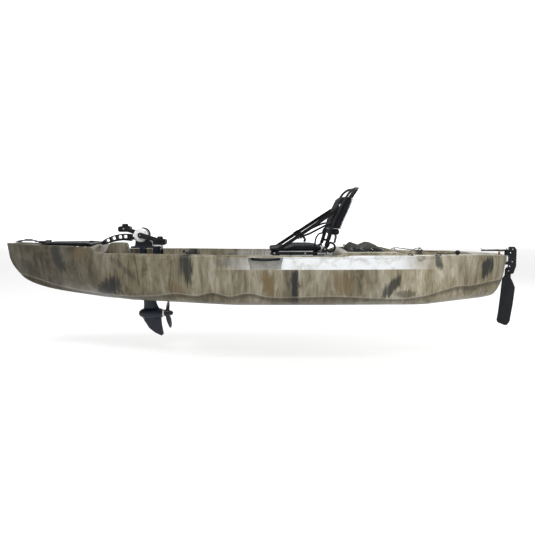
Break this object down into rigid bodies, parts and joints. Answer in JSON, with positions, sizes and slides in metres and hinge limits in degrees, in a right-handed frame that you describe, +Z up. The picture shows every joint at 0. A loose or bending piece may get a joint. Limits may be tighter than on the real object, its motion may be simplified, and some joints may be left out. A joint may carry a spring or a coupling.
{
  "type": "pedal-drive fishing kayak",
  "caption": "Sit-on-top fishing kayak with a lift-out pedal drive, a steerable kick-up rudder and a sliding, folding framed seat.",
  "frame": {"origin": "middle of the keel's flat strip, under the middle of the hull", "axes": "+X towards the stern, -X the bow, -Y port, +Z up"},
  "size_m": [4.075, 0.84, 1.1931],
  "materials": {
    "hull_plastic": "moulded polyethylene, olive and brown camouflage marbling, slightly waxy",
    "black_plastic": "fine moulded grain",
    "white_plastic": "smooth",
    "navy_casting": "satin dark navy coating",
    "black_rubber": "matt",
    "aluminium": "anodised",
    "steel": "stainless",
    "black_tube": "black anodised tube",
    "seat_fabric": "woven spacer mesh with bound edges",
    "webbing": "woven webbing",
    "mesh_fabric": "open knitted mesh"
  },
  "bodies": {
    "hull": {"hull": "hull_plastic", "drain_plug": "black_plastic", "bow_handle": "black_plastic", "grip_port": "black_rubber", "grip_starboard": "black_rubber", "gear_track_port": "black_plastic", "gear_track_starboard": "black_plastic", "seat_rail_port": "aluminium", "seat_rail_starboard": "aluminium", "hatch_hinge": "steel", "hatch_seal": "black_rubber", "cargo_cover": "mesh_fabric", "shock_cord_port": "black_rubber", "shock_cord_starboard": "black_rubber", "keeper_ball": "black_rubber", "steering_base": "black_plastic", "rudder_bracket": "black_plastic"},
    "hatch": {"hatch_lid": "black_plastic"},
    "steering": {"steering_lever": "black_plastic"},
    "drive": {"head_case": "black_plastic", "bearing_cover_port": "white_plastic", "bearing_cover_starboard": "black_plastic", "crank_bearing_port": "steel", "crank_bearing_starboard": "steel", "drive_plate": "black_plastic", "drive_column": "black_plastic", "foil_strut": "navy_casting", "gearcase_pod": "navy_casting", "shaft_seal": "white_plastic", "prop_bearing": "steel"},
    "lift_handle": {"lift_handle": "black_plastic"},
    "crank": {"crank_shaft": "steel", "crank_gear": "steel", "crank_arm_port": "black_plastic", "crank_arm_starboard": "black_plastic", "pedal_axle_port": "steel", "pedal_axle_starboard": "steel"},
    "pedal_port": {"pedal_port": "black_plastic"},
    "pedal_starboard": {"pedal_starboard": "black_plastic"},
    "drive_shaft": {"drive_shaft": "steel", "crank_pinion": "steel", "lower_gear": "steel"},
    "propeller": {"propeller": "navy_casting", "propeller_gear": "steel", "propeller_nut": "navy_casting", "propeller_shaft": "steel"},
    "rudder": {"rudder_head": "black_plastic", "rudder_pintle": "steel", "rudder_yoke": "black_plastic", "blade_pin": "steel"},
    "rudder_blade": {"rudder_blade": "black_plastic"},
    "seat_base": {"seat_frame": "black_tube", "seat_hinge_rod": "steel", "seat_pad": "seat_fabric"},
    "seat_back": {"back_frame": "black_tube", "back_pad": "seat_fabric", "support_strap_port": "webbing", "support_strap_starboard": "webbing"},
    "clamp_port": {"seat_clamp_port": "black_plastic"},
    "clamp_starboard": {"seat_clamp_starboard": "black_plastic"}
  },
  "joints": [
    {"name": "drive_lift", "type": "slide", "parent": "hull", "child": "drive", "axis": [0, 0, 1], "range_m": [0, 0.75]},
    {"name": "lift_handle_fold", "type": "hinge", "parent": "drive", "child": "lift_handle", "pos_m": [-0.988, 0, 0.524], "axis": [0, 1, 0], "range_deg": [0, 80]},
    {"name": "crank_spin", "type": "hinge", "parent": "drive", "child": "crank", "pos_m": [-0.895, 0, 0.55], "axis": [0, 1, 0], "continuous": true},
    {"name": "pedal_port_spin", "type": "hinge", "parent": "crank", "child": "pedal_port", "pos_m": [-0.72918, 0, 0.50432], "axis": [0, 1, 0], "continuous": true},
    {"name": "pedal_starboard_spin", "type": "hinge", "parent": "crank", "child": "pedal_starboard", "pos_m": [-1.06082, 0, 0.59568], "axis": [0, 1, 0], "continuous": true},
    {"name": "drive_shaft_spin", "type": "hinge", "parent": "drive", "child": "drive_shaft", "pos_m": [-0.83, 0, -0.081], "axis": [-0.1025, 0, 0.9947], "continuous": true},
    {"name": "propeller_spin", "type": "hinge", "parent": "drive", "child": "propeller", "pos_m": [-0.83, 0, -0.081], "axis": [1, 0, 0], "continuous": true},
    {"name": "rudder_steer", "type": "hinge", "parent": "hull", "child": "rudder", "pos_m": [2.024, 0, 0.37], "axis": [0, 0, 1], "range_deg": [-40, 40]},
    {"name": "rudder_kick_up", "type": "hinge", "parent": "rudder", "child": "rudder_blade", "pos_m": [2.04, 0, 0.262], "axis": [0, -1, 0], "range_deg": [0, 95]},
    {"name": "steering_turn", "type": "hinge", "parent": "hull", "child": "steering", "pos_m": [-0.48, -0.372, 0.424], "axis": [0, 0, 1], "range_deg": [-62, 62]},
    {"name": "hatch_open", "type": "hinge", "parent": "hull", "child": "hatch", "pos_m": [-1.66, 0, 0.4975], "axis": [0, -1, 0], "range_deg": [0, 110]},
    {"name": "seat_slide", "type": "slide", "parent": "hull", "child": "seat_base", "axis": [1, 0, 0], "range_m": [-0.06, 0.06]},
    {"name": "seat_back_fold", "type": "hinge", "parent": "seat_base", "child": "seat_back", "pos_m": [0.545, 0, 0.452], "axis": [0, -1, 0], "range_deg": [0, 60], "deforming": ["support_strap_port", "support_strap_starboard"]},
    {"name": "clamp_port_turn", "type": "hinge", "parent": "seat_base", "child": "clamp_port", "pos_m": [0.285, -0.2625, 0.419], "axis": [0, 1, 0], "range_deg": [0, 90]},
    {"name": "clamp_starboard_turn", "type": "hinge", "parent": "seat_base", "child": "clamp_starboard", "pos_m": [0.285, 0.2625, 0.419], "axis": [0, 1, 0], "range_deg": [0, 90]}
  ],
  "couplings": [
    {"joint": "drive_shaft_spin", "follows": "crank_spin", "ratio": -4},
    {"joint": "propeller_spin", "follows": "crank_spin", "ratio": 10},
    {"joint": "steering_turn", "follows": "rudder_steer", "ratio": 1.5}
  ]
}
